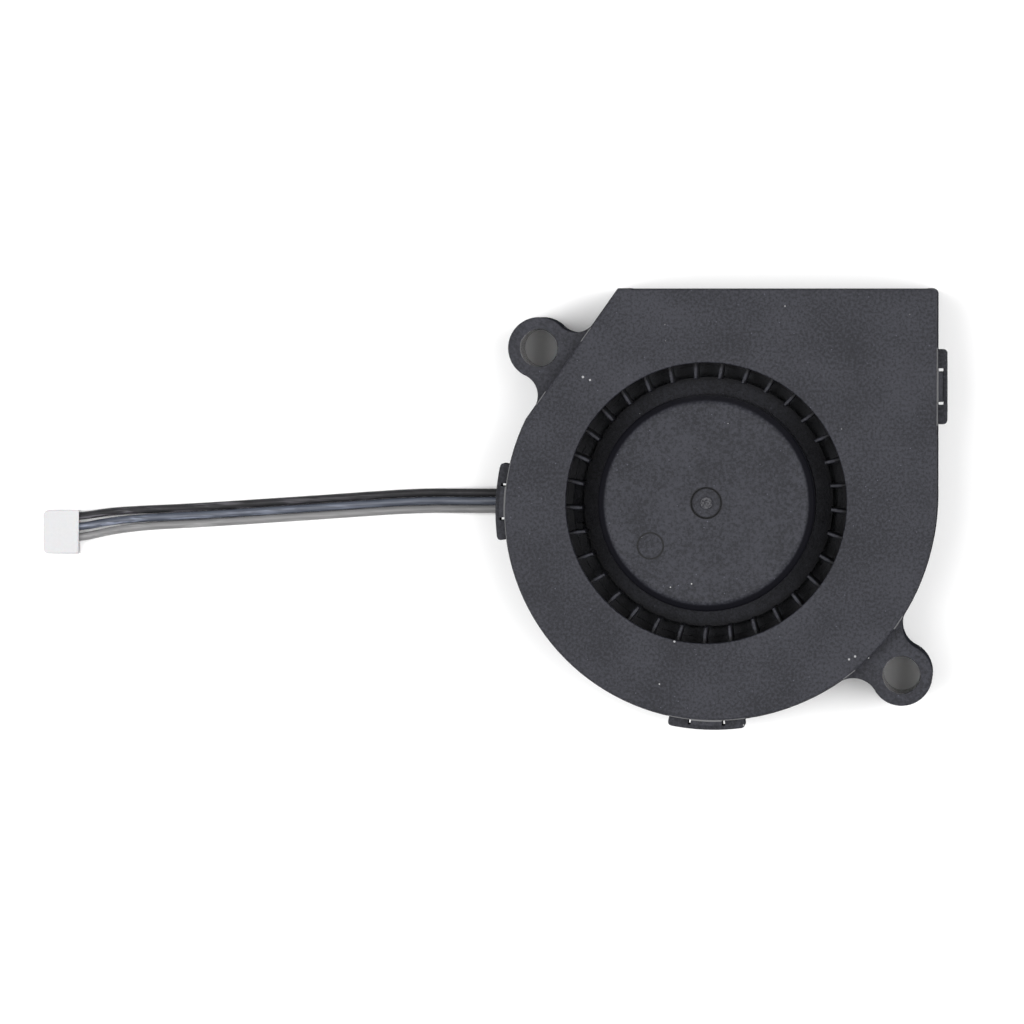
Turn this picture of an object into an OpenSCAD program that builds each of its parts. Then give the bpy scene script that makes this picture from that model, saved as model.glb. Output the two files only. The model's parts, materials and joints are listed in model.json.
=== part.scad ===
// Radial blower fan, 50 mm class, 15 mm thick, with a three wire lead.
// The inlet faces +Z, the outlet faces +Y and the leads leave towards -X.
// The origin is where the rotor axis meets the back face.

/* [Housing] */
// Height of the closed housing
body_h = 15; // [14:0.5:20]
// Thickness of the base floor
floor_t = 1.5; // [1.2:0.1:2]
// Thickness of the cover plate
cover_t = 1.5; // [1:0.1:2]
// Thickness of the scroll wall
wall_t = 1.2; // [0.9:0.1:1.6]
// How far the cover's edge stands in from the base wall
cover_inset = 0.15; // [0:0.05:0.3]
// From the impeller's rim to the outside of the lower left arc
scroll_room_a = 5.2; // [4.6:0.1:7]
// From the impeller's rim to the outside of the lower right arc
scroll_room_b = 6.9; // [6.4:0.1:9]
// How far the slanted outlet wall cuts into the lower left arc
slant_cut = 0.31; // [0.1:0.01:1]
// Direction in which the slanted outlet wall faces, in degrees
slant_angle = 144.8; // [143:0.2:147]
// From the impeller's rim to the outlet rim
outlet_room = 5.8; // [5:0.1:10]
// Radius of the inlet opening
inlet_r = 16.54; // [15.5:0.1:17]
// Depth of the locating rim under the cover
rim_h = 0.8; // [0.4:0.1:1]
// Thickness of the locating rim under the cover
rim_t = 0.8; // [0.6:0.1:1]
// Side clearance of the locating rim in the base wall
rim_gap = 0.1; // [0.05:0.05:0.2]

/* [Mounting ears] */
// How far the upper left hole lies outside the slanted wall
ear_1_out = 3.57; // [3:0.01:5]
// How far the upper left hole lies below the outlet rim, along the slanted wall
ear_1_down = 11.15; // [8:0.01:14]
// How far the lower right hole lies outside the lower right arc
ear_2_out = 4.09; // [3.5:0.01:6]
// Direction of the lower right hole from the centre of that arc, in degrees
ear_2_angle = -43.46; // [-60:0.01:-30]
// Radius of the mounting holes
ear_hole_r = 2.2; // [1.6:0.05:2.3]
// Outer radius of the ears
ear_r = 3.65; // [3.4:0.05:4.2]
// Radius of the hollow blends beside the upper left ear
ear_1_blend_r = 2.6; // [2:0.1:3]
// Radius of the hollow blends beside the lower right ear
ear_2_blend_r = 3; // [2.4:0.1:3.6]
// How far the top of the ears lies below the cover's face
ear_drop = 2.2; // [1.6:0.1:4]

/* [Snap latches] */
// Length of each latch loop along the wall
latch_l = 8.85; // [7:0.05:10]
// How far each latch loop stands out from the wall
latch_out = 1.1; // [1:0.05:1.6]
// Height of each latch loop
latch_h = 5.5; // [4:0.5:7]
// How far the top of the loops lies below the cover's face
latch_drop = 2.4; // [2:0.1:4]
// Width of the cover's snap fingers
finger_w = 3.6; // [2.5:0.1:4.5]
// Thickness of the cover's snap fingers
finger_t = 0.5; // [0.4:0.05:0.6]
// Gap at each end of a finger in its loop
finger_gap = 0.35; // [0.2:0.05:0.6]
// Gap on each face of a finger in its loop
finger_play = 0.06; // [0.03:0.01:0.1]
// Height of the barb under each finger's loop
barb_h = 1.2; // [0.8:0.1:2]
// Place of the left latch along Y
latch_left_y = 0.1; // [-1:0.1:1]
// Place of the lower latch along X
latch_low_x = 0; // [-2:0.1:2]
// Place of the right latch along Y
latch_right_y = 13.7; // [10:0.1:16]

/* [Impeller] */
// How far the hub's face lies below the cover's face
hub_sink = 0.5; // [0.3:0.1:1]
// Outer radius of the hub
hub_r = 12.8; // [12.4:0.05:13.2]
// Width of the slope round the hub's face
hub_edge = 0.9; // [0.5:0.1:1.1]
// Thickness of the hub's end plate
hub_top_t = 1.2; // [1:0.1:1.6]
// Radius of the round recess in the middle of the hub's face
gate_r = 1.78; // [1.4:0.02:2]
// Depth of the round recess
gate_depth = 0.45; // [0.3:0.05:0.6]
// Radius of the moulding stub in the recess
stub_r = 0.75; // [0.5:0.05:1]
// Radius of the round ejector mark on the hub's face
mark_r = 1.53; // [1:0.01:2]
// Thickness of the impeller's disc
disc_t = 1; // [0.8:0.1:1.2]
// Number of blades
blade_n = 33; // [27:2:39]
// Radius of the blades' inner edges
blade_in_r = 14.66; // [14.2:0.02:15]
// Outer radius of the impeller
impeller_r = 19.5; // [19:0.1:20]
// Thickness of a blade
blade_t = 0.42; // [0.35:0.01:0.6]
// Running gap between the blades and the cover
blade_gap = 0.5; // [0.4:0.05:1]
// Inner radius of the ring under the blades
low_ring_r = 16.1; // [15.8:0.1:17]
// Thickness of the ring under the blades
low_ring_t = 0.8; // [0.6:0.1:1]
// Height of the ring around the blades' tops
top_ring_h = 0.9; // [0.6:0.1:1.4]
// Width of the ring around the blades' tops
top_ring_t = 0.7; // [0.5:0.1:1]

/* [Motor] */
// Thickness of the hub's wall around the steel yoke
hub_wall = 1.6; // [1.2:0.05:1.9]
// Thickness of the steel yoke
yoke_t = 0.55; // [0.4:0.05:0.8]
// Thickness of the magnet ring
magnet_t = 1.25; // [1:0.05:1.6]
// How far the magnet ring reaches past the stack at each end
magnet_over = 1.6; // [1:0.1:1.6]
// Radius of the shaft
shaft_r = 1; // [0.9:0.05:1.1]
// Outer radius of the brass bush in the hub
bush_r = 2.2; // [2:0.1:2.6]
// Height of the brass bush
bush_h = 2.4; // [2:0.1:2.6]
// Radial running clearance of the shaft
run_gap = 0.03; // [0.02:0.01:0.05]
// Outer radius of the sleeve bearing
bearing_r = 2.5; // [2.3:0.05:2.6]
// Thickness of the bearing tube's wall
tube_wall = 0.7; // [0.6:0.05:0.9]
// Running gap between the stator's poles and the magnet ring
air_gap = 0.3; // [0.25:0.05:0.5]
// Thickness of the pole shoes, along a radius
shoe_t = 1.6; // [1.2:0.1:2]
// Number of stator poles
pole_n = 4; // [4:4:4]
// Width of each pole's neck
neck_w = 1.6; // [1.4:0.1:2]
// Thickness of the insulators
ins_t = 0.5; // [0.4:0.1:0.6]
// Thickness of the winding around a neck
coil_t = 1.1; // [0.8:0.1:1.2]

/* [Electronics and leads] */
// Thickness of the circuit board
pcb_t = 0.8; // [0.6:0.2:1]
// Height of the circuit board above the floor
pcb_lift = 1.3; // [1.2:0.1:1.5]
// Gap between the circuit board's edge and the hub's wall
pcb_gap = 0.8; // [0.5:0.1:1.2]
// Diameter of a wire over its insulation
wire_d = 0.95; // [0.85:0.05:0.97]
// Gap between the wires in the base channel
wire_gap = 0.03; // [0.02:0.01:0.1]
// Spacing of the contacts in the plug
contact_pitch = 1.25; // [1.2:0.05:1.3]
// Number of places in the plug
plug_places = 4; // [4:1:6]
// Length of the plug
plug_l = 4.2; // [3.8:0.1:5]
// Height of the plug
plug_h = 2.3; // [2:0.1:2.6]
// Radius of the blank label on the back
label_r = 8; // [6:0.5:8.5]

/* [Hidden] */
$fn = 96;
// How far pieces of one solid run into each other, and how far a cut runs past a face
eps = 0.01;
past = 1;
far = 60;

// Colours as they show in daylight
moulded_black = [0.16, 0.16, 0.17];
moulded_grey = [0.2, 0.2, 0.21];
copper = [0.72, 0.38, 0.2];
steel = [0.62, 0.62, 0.64];
tin = [0.75, 0.75, 0.77];

// The scroll's outline: two arcs about centres on one upright line, meeting below the rotor
arc_a_r = impeller_r + scroll_room_a;
arc_b_r = impeller_r + scroll_room_b;
outlet_y = impeller_r + outlet_room;
arc_a = [0.85, -1];
arc_b = [arc_a.x, arc_a.y + arc_b_r - arc_a_r];
right_x = arc_b.x + arc_b_r;
corner_r = 0.6;
corner_steps = 5;
slant_dir = [cos(slant_angle), sin(slant_angle)];
slant_along = [-slant_dir.y, slant_dir.x];
slant_r = arc_a_r - slant_cut + arc_a * slant_dir;

// A point on the slanted wall, moved in by d, at height y
function slant_point(y, d) = [(slant_r - d - slant_dir.y * y) / slant_dir.x, y];

// The mounting holes, 42.77 apart along X and 38.52 along Y
ear_1 = (slant_r + ear_1_out) * slant_dir
    + (slant_point(outlet_y, 0) * slant_along + ear_1_down) * slant_along;
ear_2 = arc_b + (arc_b_r + ear_2_out) * [cos(ear_2_angle), sin(ear_2_angle)];

// Heights
cover_z = body_h - cover_t;
ear_top = body_h - ear_drop;
latch_top = body_h - latch_drop;
latch_z = latch_top - latch_h;
hub_top = body_h - hub_sink;
hub_under = hub_top - hub_top_t;
bush_z = hub_under - bush_h;
bush_gap = 0.3;
tube_top = bush_z - bush_gap;
oil_ring_t = 0.2;
bearing_top = tube_top - oil_ring_t;
boss_h = 1.4;
blade_top = cover_z - blade_gap;
disc_lift = 1.7;
disc_z = floor_t + disc_lift;

// The stack fills the height between the circuit board and the hub
pcb_z = floor_t + pcb_lift;
pcb_top = pcb_z + pcb_t;
coil_lift = 1;
core_z = pcb_top + coil_lift + coil_t + ins_t;
flange_h = 1.3;
flange_gap = 0.4;
core_top = hub_under - boss_h - flange_gap - flange_h - ins_t;
stack_h = core_top - core_z;
magnet_z = core_z - magnet_over;
magnet_h = stack_h + 2 * magnet_over;
yoke_over = 0.2;
yoke_z = magnet_z - yoke_over;
yoke_lip_t = 0.4;

// The bottom of the shaft, from the back face upwards
label_t = 0.12;
label_recess = 0.2;
label_play = 0.3;
cap_lip = 0.5;
cap_r = bearing_r + cap_lip;
cap_t = 0.7;
cap_z = label_recess;
pad_z = cap_z + cap_t;
pad_t = 0.4;
shaft_play = 0.03;
shaft_z = pad_z + pad_t + shaft_play;
shaft_tip = 0.2;
ring_t = 0.3;
ring_lift = 0.65;
ring_z = shaft_z + ring_lift;
ring_gap = 0.3;
groove_depth = 0.2;
ring_w = 0.8;
ring_r = shaft_r + ring_w;
ring_slot = 0.7;
bearing_z = ring_z + ring_t + ring_gap;

// Motor radii, from the hub's wall inwards
yoke_r = hub_r - hub_wall;
yoke_in_r = yoke_r - yoke_t;
magnet_in_r = yoke_in_r - magnet_t;
pole_r = magnet_in_r - air_gap;
shoe_r = pole_r - shoe_t;
flange_t = 0.4;
coil_out_r = shoe_r - flange_t;
pcb_r = yoke_r - pcb_gap;

// Motor radii, from the bearing tube outwards
tube_r = bearing_r + tube_wall;
core_fit = 0.02;
core_in_r = tube_r + core_fit;
collar_t = 0.7;
collar_r = core_in_r + collar_t;
core_ring_t = 1.1;
core_ring_r = core_in_r + core_ring_t;
coil_gap = 0.3;
coil_in_r = core_ring_r + coil_gap;
pcb_seat_t = 1.2;
pcb_seat_r = tube_r + pcb_seat_t;
pcb_hole_gap = 0.1;
pin_r = 0.25;
pin_place_r = core_ring_r + 1.1;
post_r = 0.8;
pin_tail = 0.5;
pin_head = 0.3;

// The rest of the stator
shoe_gap = 14;
skin_t = 0.3;
flange_brim = 0.3;
boss_t = 1.2;
boss_r = bush_r + boss_t;
yoke_lip_r = boss_r + 1.6;

// The channel that holds the leads, in the floor's underside
lead_n = 3;
wire_pitch = wire_d + wire_gap;
channel_play = 0.3;
channel_w = (lead_n - 1) * wire_pitch + wire_d + channel_play;
channel_h = 1.7;
channel_roof = 0.9;
channel_wall = 0.9;
channel_rise = 4.8;
channel_gap = 0.7;
channel_end = -(label_r + label_play + channel_gap);
channel_in = channel_end - channel_rise;
exit_x = arc_a.x - sqrt(pow(arc_a_r, 2) - pow(arc_a.y, 2));
bar_t = 0.4;
bar_in = 2.6;
bar_w = 2;

// The free leads from the housing to the plug, as X, middle Y, Z and half the spread
route = [
    [-23.8, 0, 1.05, 0.98], [-25.5, 0, 1.02, 0.98], [-27.5, 0, 0.86, 0.98],
    [-30, 0, 0.64, 0.98], [-33, 0, 0.5, 0.98], [-36.5, -0.12, 0.5, 0.98],
    [-40, -0.34, 0.5, 0.98], [-44, -0.62, 0.5, 0.98], [-48, -0.9, 0.5, 0.98],
    [-52, -1.16, 0.5, 0.98], [-56, -1.43, 0.5, 0.98], [-60, -1.68, 0.5, 0.98],
    [-63.5, -1.88, 0.5, 0.98], [-66.5, -2.03, 0.54, 1], [-69, -2.22, 0.68, 1.05],
    [-71, -2.43, 0.86, 1.12], [-72.8, -2.71, 1.03, 1.19], [-74.2, -2.97, 1.12, 1.24],
    [-75.4, -3.1, 1.15, 1.25], [-76.4, -3.1, 1.15, 1.25]
];
wire_sides = 8;

// The plug, whose first place takes the black wire
plug_wall = 0.72;
plug_corner = 0.6;
plug_w = (plug_places - 1) * contact_pitch + 2 * plug_wall;
plug_x = -75.2;
wire_end_x = route[len(route) - 1].x;
plug_first_y = route[len(route) - 1].y + contact_pitch;
cavity_wall = 0.2;
cavity_w = contact_pitch - cavity_wall;
cavity_h = 1.4;
cavity_depth = 1.8;
mouth_w = 0.7;
mouth_h = 1;
contact_w = 0.6;
contact_h = 0.7;
contact_back = 0.5;
plug_mid_z = route[len(route) - 1].z;

// The four poles stand on the diagonals between the terminal pins
pole_angles = [for (i = [0 : pole_n - 1]) i * 360 / pole_n];
pin_angles = [for (a = pole_angles) a + 180 / pole_n];

function arc_points(c, r, a0, a1, steps) =
    [for (i = [0 : steps]) let (a = a0 + (a1 - a0) * i / steps) c + r * [cos(a), sin(a)]];

// The outline of the scroll, moved in by d and with the outlet run on by reach. Only the last
// polygon draws the slanted wall; what it cuts runs past it.
module scroll_2d(d, reach = 0) {
    top_y = reach > 0 ? outlet_y + reach : outlet_y - d;
    round_r = reach > 0 ? 0 : max(corner_r - d, 0);
    intersection() {
        union() {
            intersection() {
                translate(arc_a) circle(r = arc_a_r - d);
                translate([arc_a.x - far, -far]) square([far, 2 * far]);
            }
            intersection() {
                translate(arc_b) circle(r = arc_b_r - d);
                translate([arc_b.x, arc_b.y - far]) square([far, far]);
            }
            polygon(concat(
                [arc_a, arc_b, [right_x - d, arc_b.y]],
                round_r > 0
                    ? arc_points([right_x - d - round_r, top_y - round_r], round_r, 0, 90, corner_steps)
                    : [[right_x - d, top_y]],
                [slant_point(top_y, -past), arc_a + (arc_a_r - slant_cut + past) * slant_dir]
            ));
        }
        polygon([[far, -far], [far, far], slant_point(far, d), slant_point(-far, d)]);
    }
}

// Where two circles about a and b meet, on the side that s picks
function circles_meet(a, ra, b, rb, s) =
    let (d = norm(b - a), u = (b - a) / d, m = (d * d + ra * ra - rb * rb) / (2 * d))
    a + m * u + s * sqrt(ra * ra - m * m) * [-u.y, u.x];

// Where a circle about a meets a line that runs parallel to the slanted wall, off outside it
function slant_meet(a, ra, off, s) =
    let (n = slant_r + off - a * slant_dir)
    a + n * slant_dir + s * sqrt(ra * ra - n * n) * slant_along;

// The blends run a hair into ear and wall, so that no face ends on a mere touch
blend_lap = 0.02;

module ear_1_2d() {
    blend_off = ear_1_blend_r - blend_lap;
    upper = slant_meet(ear_1, ear_r + blend_off, blend_off, -1);
    lower = slant_meet(ear_1, ear_r + blend_off, blend_off, 1);
    difference() {
        union() {
            translate(ear_1) circle(r = ear_r);
            polygon([
                ear_1, upper, upper - (ear_1_blend_r + wall_t / 2) * slant_dir,
                lower - (ear_1_blend_r + wall_t / 2) * slant_dir, lower
            ]);
        }
        for (p = [upper, lower]) translate(p) circle(r = ear_1_blend_r);
    }
}

module ear_2_2d() {
    blend_off = ear_2_blend_r - blend_lap;
    upper = circles_meet(arc_b, arc_b_r + blend_off, ear_2, ear_r + blend_off, 1);
    lower = circles_meet(arc_b, arc_b_r + blend_off, ear_2, ear_r + blend_off, -1);
    foot_r = arc_b_r - wall_t / 2;
    difference() {
        union() {
            translate(ear_2) circle(r = ear_r);
            polygon([
                ear_2, upper,
                arc_b + foot_r * (upper - arc_b) / norm(upper - arc_b),
                arc_b + foot_r * (lower - arc_b) / norm(lower - arc_b),
                lower
            ]);
        }
        for (p = [upper, lower]) translate(p) circle(r = ear_2_blend_r);
    }
}

// The latch places: left and lower on the lower left arc, right on the straight wall
module at_latches() {
    translate(arc_a) rotate(180 - asin((latch_left_y - arc_a.y) / arc_a_r)) children(0);
    translate(arc_a) rotate(270 - asin((arc_a.x - latch_low_x) / arc_a_r)) children(0);
    translate([right_x, latch_right_y]) children(1);
}

// A band along the arc from r0 to r1, of length l along the wall, about +X
module arc_band(r0, r1, l, h) {
    half = asin(l / 2 / arc_a_r);
    linear_extrude(h) difference() {
        intersection() {
            circle(r = r1);
            polygon([[0, 0], far * [cos(half), -sin(half)], far * [cos(half), sin(half)]]);
        }
        circle(r = r0);
    }
}

// The room in a loop for the finger
slot_t = finger_t + 2 * finger_play;
slot_w = finger_w + 2 * finger_gap;

module latch_loop_arc() {
    translate([0, 0, latch_z]) difference() {
        arc_band(arc_a_r - wall_t / 2, arc_a_r + latch_out, latch_l, latch_h);
        translate([0, 0, -past])
            arc_band(arc_a_r - eps, arc_a_r + slot_t, slot_w, latch_h + 2 * past);
    }
}

module latch_loop_flat() {
    translate([0, 0, latch_z]) difference() {
        translate([-wall_t / 2, -latch_l / 2, 0])
            cube([wall_t / 2 + latch_out, latch_l, latch_h]);
        translate([-eps, -slot_w / 2, -past]) cube([slot_t + eps, slot_w, latch_h + 2 * past]);
    }
}

// A finger hangs from the lower half of the cover's edge and hooks under its loop
finger_root_t = 0.7;
finger_root_l = 1;
barb_out = 0.4;
finger_z = latch_z - finger_play - barb_h;
finger_h = cover_z + finger_root_t - finger_z;

module finger_arc() {
    face_r = arc_a_r + finger_play;
    translate([0, 0, finger_z]) arc_band(face_r, face_r + finger_t, finger_w, finger_h);
    translate([0, 0, finger_z]) arc_band(face_r, face_r + finger_t + barb_out, finger_w, barb_h);
    translate([0, 0, cover_z])
        arc_band(arc_a_r - cover_inset - finger_root_l, face_r + finger_t, finger_w, finger_root_t);
}

module finger_flat() {
    root_l = finger_play + finger_t + cover_inset + finger_root_l;
    translate([finger_play, -finger_w / 2, finger_z]) {
        cube([finger_t, finger_w, finger_h]);
        cube([finger_t + barb_out, finger_w, barb_h]);
    }
    translate([-cover_inset - finger_root_l, -finger_w / 2, cover_z])
        cube([root_l, finger_w, finger_root_t]);
}

module base_housing() {
    color(moulded_black) difference() {
        union() {
            linear_extrude(floor_t) scroll_2d(0);
            linear_extrude(cover_z) difference() {
                scroll_2d(0);
                scroll_2d(wall_t, past);
            }
            linear_extrude(ear_top) difference() {
                union() {
                    ear_1_2d();
                    ear_2_2d();
                }
                scroll_2d(wall_t / 2);
            }
            at_latches() {
                latch_loop_arc();
                latch_loop_flat();
            }
            cylinder(r = pcb_seat_r, h = pcb_z);
            cylinder(r = tube_r, h = tube_top);
            translate([exit_x + wall_t / 2, -channel_w / 2 - channel_wall, 0])
                cube([
                    channel_in - exit_x - wall_t / 2 + channel_wall,
                    channel_w + 2 * channel_wall, channel_h + channel_roof
                ]);
        }
        for (p = [ear_1, ear_2])
            translate([p.x, p.y, -past]) cylinder(r = ear_hole_r, h = body_h);
        translate([0, 0, -past]) cylinder(r = label_r + label_play, h = past + label_recess);
        translate([0, 0, -past]) cylinder(r = cap_r, h = past + pad_z);
        translate([0, 0, pad_z - eps]) cylinder(r = bearing_r, h = body_h);
        lead_channel();
    }
}

// What is cut away for the leads: the channel with a bar across it, and the way up
module lead_channel() {
    difference() {
        translate([exit_x - past, -channel_w / 2, -past])
            cube([channel_in - exit_x + 2 * past, channel_w, past + channel_h]);
        translate([exit_x + bar_in, -channel_w, -2 * past])
            cube([bar_w, 2 * channel_w, 2 * past + bar_t]);
    }
    translate([channel_in, -channel_w / 2, -past])
        cube([channel_rise, channel_w, channel_h + channel_roof + 2 * past]);
}

module cover_plate() {
    color(moulded_grey) difference() {
        union() {
            translate([0, 0, cover_z]) linear_extrude(cover_t) scroll_2d(cover_inset);
            translate([0, 0, cover_z - rim_h]) linear_extrude(rim_h + eps) difference() {
                scroll_2d(wall_t + rim_gap);
                scroll_2d(wall_t + rim_gap + rim_t, past);
            }
            at_latches() {
                finger_arc();
                finger_flat();
            }
        }
        translate([0, 0, cover_z - rim_h - past]) cylinder(r = inlet_r, h = body_h);
    }
}

module ring(r0, r1, h) {
    difference() {
        cylinder(r = r1, h = h);
        translate([0, 0, -past]) cylinder(r = r0, h = h + 2 * past);
    }
}

module bearing_cap() {
    color([0.3, 0.3, 0.32]) translate([0, 0, cap_z]) cylinder(r = cap_r, h = cap_t);
}

module thrust_pad() {
    color([0.9, 0.88, 0.8]) translate([0, 0, pad_z]) cylinder(r = bearing_r, h = pad_t);
}

module sleeve_bearing() {
    color([0.66, 0.5, 0.3]) translate([0, 0, bearing_z])
        ring(shaft_r + run_gap, bearing_r, bearing_top - bearing_z);
}

module oil_ring() {
    color([0.85, 0.84, 0.8]) translate([0, 0, bearing_top])
        ring(shaft_r + 2 * run_gap, bearing_r, oil_ring_t);
}

// The laminations seen from above: a ring, four necks and four pole shoes
module core_2d() {
    difference() {
        union() {
            circle(r = core_ring_r);
            for (a = pole_angles) rotate(a) {
                translate([0, -neck_w / 2]) square([shoe_r + shoe_t / 2, neck_w]);
                intersection() {
                    difference() {
                        circle(r = pole_r);
                        circle(r = shoe_r);
                    }
                    wedge_2d(360 / pole_n - shoe_gap);
                }
            }
        }
        circle(r = core_in_r);
    }
}

module wedge_2d(angle) {
    polygon([
        [0, 0], far * [cos(angle / 2), -sin(angle / 2)], [far, 0],
        far * [cos(angle / 2), sin(angle / 2)]
    ]);
}

module stator_core() {
    color(steel) translate([0, 0, core_z]) linear_extrude(stack_h) core_2d();
}

// One end of the insulator, drawn with its plate on z = 0 and its flanges upwards
module insulator_end() {
    plate_w = neck_w + 2 * skin_t;
    flange_w = plate_w + 2 * (coil_t + flange_brim);
    linear_extrude(ins_t) difference() {
        union() {
            circle(r = core_ring_r);
            for (a = pole_angles) rotate(a)
                translate([0, -plate_w / 2]) square([coil_out_r + flange_t, plate_w]);
        }
        circle(r = core_in_r);
    }
    linear_extrude(ins_t + flange_h) {
        difference() {
            circle(r = collar_r);
            circle(r = core_in_r);
        }
        for (a = pole_angles) rotate(a)
            translate([coil_out_r, -flange_w / 2]) square([flange_t, flange_w]);
    }
}

// The skins beside the necks reach half way down the stack
module neck_skins() {
    skin_in_r = core_ring_r - skin_t;
    for (a = pole_angles, s = [-1, 1]) rotate(a)
        translate([skin_in_r, s * (neck_w + skin_t) / 2 - skin_t / 2, -stack_h / 2])
            cube([coil_out_r - skin_in_r, skin_t, stack_h / 2 + eps]);
}

module core_free_skins() {
    difference() {
        neck_skins();
        translate([0, 0, -stack_h]) linear_extrude(stack_h) core_2d();
    }
}

module insulator_upper() {
    color([0.92, 0.9, 0.84]) translate([0, 0, core_top]) {
        insulator_end();
        core_free_skins();
    }
}

module insulator_lower() {
    color([0.92, 0.9, 0.84]) difference() {
        union() {
            translate([0, 0, core_z]) mirror([0, 0, 1]) {
                insulator_end();
                core_free_skins();
            }
            for (a = pin_angles) rotate(a) {
                translate([pin_place_r, 0, pcb_top])
                    cylinder(r = post_r, h = core_z - pcb_top);
                translate([core_in_r + collar_t / 2, -post_r / 2, core_z - 3 / 4 * ins_t])
                    cube([pin_place_r - core_in_r - collar_t / 2, post_r, ins_t / 2]);
            }
        }
        for (a = pin_angles) rotate(a)
            translate([pin_place_r, 0, 0]) cylinder(r = pin_r, h = body_h);
    }
}

// A winding as a flat sided ring around one neck, with round outer corners
module coil(i) {
    in_w = neck_w + 2 * skin_t;
    in_h = stack_h + 2 * ins_t;
    color(copper) rotate(pole_angles[i]) translate([coil_in_r, 0, (core_z + core_top) / 2])
        rotate([90, 0, 90]) linear_extrude(coil_out_r - coil_in_r) difference() {
            union() {
                square([in_w + 2 * coil_t, in_h], center = true);
                square([in_w, in_h + 2 * coil_t], center = true);
                for (x = [-1, 1], y = [-1, 1])
                    translate([x * in_w / 2, y * in_h / 2]) circle(r = coil_t);
            }
            square([in_w, in_h], center = true);
        }
}

module terminal_pins() {
    color(tin) for (a = pin_angles) rotate(a)
        translate([pin_place_r, 0, pcb_z - pin_tail])
            cylinder(r = pin_r, h = core_z + pin_head - pcb_z + pin_tail);
}

module circuit_board() {
    color([0.12, 0.36, 0.2]) translate([0, 0, pcb_z]) difference() {
        cylinder(r = pcb_r, h = pcb_t);
        translate([0, 0, -past]) cylinder(r = tube_r + pcb_hole_gap, h = pcb_t + 2 * past);
        for (a = pin_angles) rotate(a)
            translate([pin_place_r, 0, -past]) cylinder(r = pin_r, h = pcb_t + 2 * past);
    }
}

// The driver chip with its Hall cell lies near the magnet, between two poles
hall_angle = -45;
hall_size = [1.6, 3, 0.75];
hall_leg = [0.5, 0.3, 0.15];
hall_pitch = 0.95;
chip_size = [0.5, 1, 0.4];
chip_angles = [35, 52, 128, 142, 225];
board_edge = 1.3;
hall_place_r = pcb_r - board_edge - hall_size.x / 2;
chip_place_r = pcb_r - board_edge - chip_size.x / 2;

module hall_driver() {
    rotate(hall_angle) translate([hall_place_r, 0, pcb_top]) {
        color([0.1, 0.1, 0.1]) translate([-hall_size.x / 2, -hall_size.y / 2, 0]) cube(hall_size);
        color(tin) for (sx = [-1, 1], row = [-1 : 1])
            translate([sx * (hall_size.x + hall_leg.x) / 2, row * hall_pitch, hall_leg.z / 2])
                cube(hall_leg + [eps, 0, 0], center = true);
    }
}

module chip_parts() {
    color([0.75, 0.68, 0.55]) for (a = chip_angles) rotate(a)
        translate([chip_place_r - chip_size.x / 2, -chip_size.y / 2, pcb_top]) cube(chip_size);
}

// The leads end under the board, each in a bead of solder
lead_end_x = channel_end + 0.1;
lead_under_z = pcb_z - wire_d / 2 - 0.02;
lead_run = 4;
lead_steps = 6;
bead_r = 0.4;
bead_h = 0.75;
fillet_r = [0.08, 0.35];
lead_ys = [for (i = [0 : lead_n - 1]) (i - (lead_n - 1) / 2) * wire_pitch];

module solder_joints() {
    color(tin) {
        for (a = pin_angles) rotate(a) translate([pin_place_r, 0, pcb_z - pin_tail]) difference() {
            cylinder(r1 = pin_r + fillet_r[0], r2 = pin_r + fillet_r[1], h = pin_tail);
            translate([0, 0, -past]) cylinder(r = pin_r, h = pin_tail + 2 * past);
        }
        for (y = lead_ys)
            translate([lead_end_x + bead_r, y, pcb_z - bead_h]) cylinder(r = bead_r, h = bead_h);
    }
}

// A tube along points, as rings of wire_sides corners
function unit(v) = v / norm(v);
function heading(p, i) = unit(p[min(i + 1, len(p) - 1)] - p[max(i - 1, 0)]);
function side_of(h) = unit(cross([0, 0, 1], h));
function ring_at(p, i, r) =
    let (h = heading(p, i), s = side_of(h), u = cross(h, s))
    [for (k = [0 : wire_sides - 1]) let (a = (k + 0.5) * 360 / wire_sides)
        p[i] + r * (cos(a) * s + sin(a) * u)];

// A point on the smooth curve through the route's points, between points i and i + 1
function spline_at(p, i, t) =
    let (
        a = p[max(i - 1, 0)], b = p[i], c = p[i + 1], d = p[min(i + 2, len(p) - 1)],
        m0 = (c - a) / 2, m1 = (d - b) / 2, t2 = t * t, t3 = t * t * t
    )
    (2 * t3 - 3 * t2 + 1) * b + (t3 - 2 * t2 + t) * m0 + (3 * t2 - 2 * t3) * c + (t3 - t2) * m1;

module tube_along(p, r) {
    n = len(p);
    rings = [for (i = [0 : n - 1]) each ring_at(p, i, r)];
    sides = [for (i = [0 : n - 2], k = [0 : wire_sides - 1])
        let (a = i * wire_sides + k, b = i * wire_sides + (k + 1) % wire_sides)
        [a, b, b + wire_sides, a + wire_sides]];
    first = [for (k = [wire_sides - 1 : -1 : 0]) k];
    last = [for (k = [0 : wire_sides - 1]) (n - 1) * wire_sides + k];
    polyhedron(points = rings, faces = concat([first], sides, [last]), convexity = 4);
}

function wire_route(side) = [for (q = route) [q[0], q[1] + side * q[3], q[2]]];

module free_wire(side) {
    p = wire_route(side);
    smooth = concat(
        [for (i = [0 : len(p) - 2], k = [0 : 1]) spline_at(p, i, k / 2)],
        [p[len(p) - 1]]
    );
    tube_along(smooth, wire_d / 2);
}

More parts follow.
